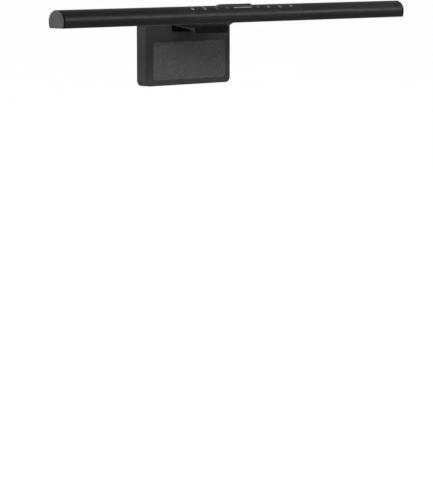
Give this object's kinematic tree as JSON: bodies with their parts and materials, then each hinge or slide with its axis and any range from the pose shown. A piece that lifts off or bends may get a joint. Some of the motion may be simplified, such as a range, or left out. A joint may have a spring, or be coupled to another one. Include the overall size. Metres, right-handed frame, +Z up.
{
  "type": "monitor light bar",
  "caption": "Long black monitor lamp with a D-shaped section, touch keys on top, and a clamp with a front hook, ribbed seat and swinging counterweight.",
  "frame": {"origin": "middle of the flat seat that rests on a monitor's top edge, halfway along the bar", "axes": "+X along the bar to the user's right, +Y away from the user towards the back of the monitor, +Z up"},
  "size_m": [0.5, 0.0992, 0.0864],
  "materials": {
    "black_aluminium": "bead-blasted black anodised",
    "cap_plastic": "fine satin moulded",
    "panel_plastic": "smooth satin moulded",
    "key_grey": "printed grey",
    "strip_grey": "smoky light window",
    "copper_foil": "laminated foil",
    "circuit_board": "solder mask",
    "chip_black": "moulded epoxy",
    "screw_steel": "zinc plated",
    "screw_black": "black oxide",
    "led_board_white": "white solder mask on aluminium",
    "led_yellow": "phosphor",
    "reflector_white": "white reflective",
    "frosted_diffuser": "frosted translucent",
    "cover_plastic": "fine spark-eroded texture",
    "bracket_steel": "stamped",
    "shaft_steel": "turned",
    "washer_brass": "plain",
    "frame_casting": "black-coated zinc casting",
    "hook_black": "soft-touch",
    "silicone_black": "silicone",
    "lead_sheath": "cable sheath",
    "weight_plastic": "fine spark-eroded texture",
    "block_steel": "sawn and phosphated"
  },
  "bodies": {
    "clamp": {"arm_frame": "frame_casting", "arm_top_cover": "cover_plastic", "arm_bottom_cover": "hook_black", "front_hook": "hook_black", "grip_liner": "silicone_black", "arm_screws": "screw_steel", "hinge_pin": "shaft_steel", "supply_lead": "lead_sheath"},
    "light_bar": {"bar_housing": "black_aluminium", "left_end_cap": "cap_plastic", "right_end_cap": "cap_plastic", "touch_panel": "panel_plastic", "key_symbols": "key_grey", "light_strip": "strip_grey", "touch_foil": "copper_foil", "control_board": "circuit_board", "board_chips": "chip_black", "board_screws": "screw_steel", "light_sensor": "chip_black", "left_led_board": "led_board_white", "right_led_board": "led_board_white", "left_leds": "led_yellow", "right_leds": "led_yellow", "left_reflector": "reflector_white", "right_reflector": "reflector_white", "left_diffuser": "frosted_diffuser", "right_diffuser": "frosted_diffuser", "middle_cover": "cover_plastic", "middle_cover_screws": "screw_black", "tilt_bracket": "bracket_steel", "pivot_shaft": "shaft_steel", "pivot_nut": "shaft_steel", "friction_washers": "washer_brass"},
    "counterweight": {"weight_shell": "weight_plastic", "weight_lid": "weight_plastic", "weight_grip_pad": "silicone_black", "weight_block": "block_steel", "weight_block_screws": "screw_steel", "weight_lid_screws": "screw_black", "usb_c_shell": "shaft_steel", "usb_c_tongue": "chip_black", "power_board": "circuit_board", "hinge_bushes": "washer_brass"}
  },
  "joints": [
    {"name": "bar_tilt", "type": "hinge", "parent": "clamp", "child": "light_bar", "pos_m": [0, -0.0437, 0.0162], "axis": [1, 0, 0], "range_deg": [-20, 12]},
    {"name": "counterweight_swing", "type": "hinge", "parent": "clamp", "child": "counterweight", "pos_m": [0, 0.034, 0.011], "axis": [1, 0, 0], "range_deg": [-25, 65]}
  ]
}
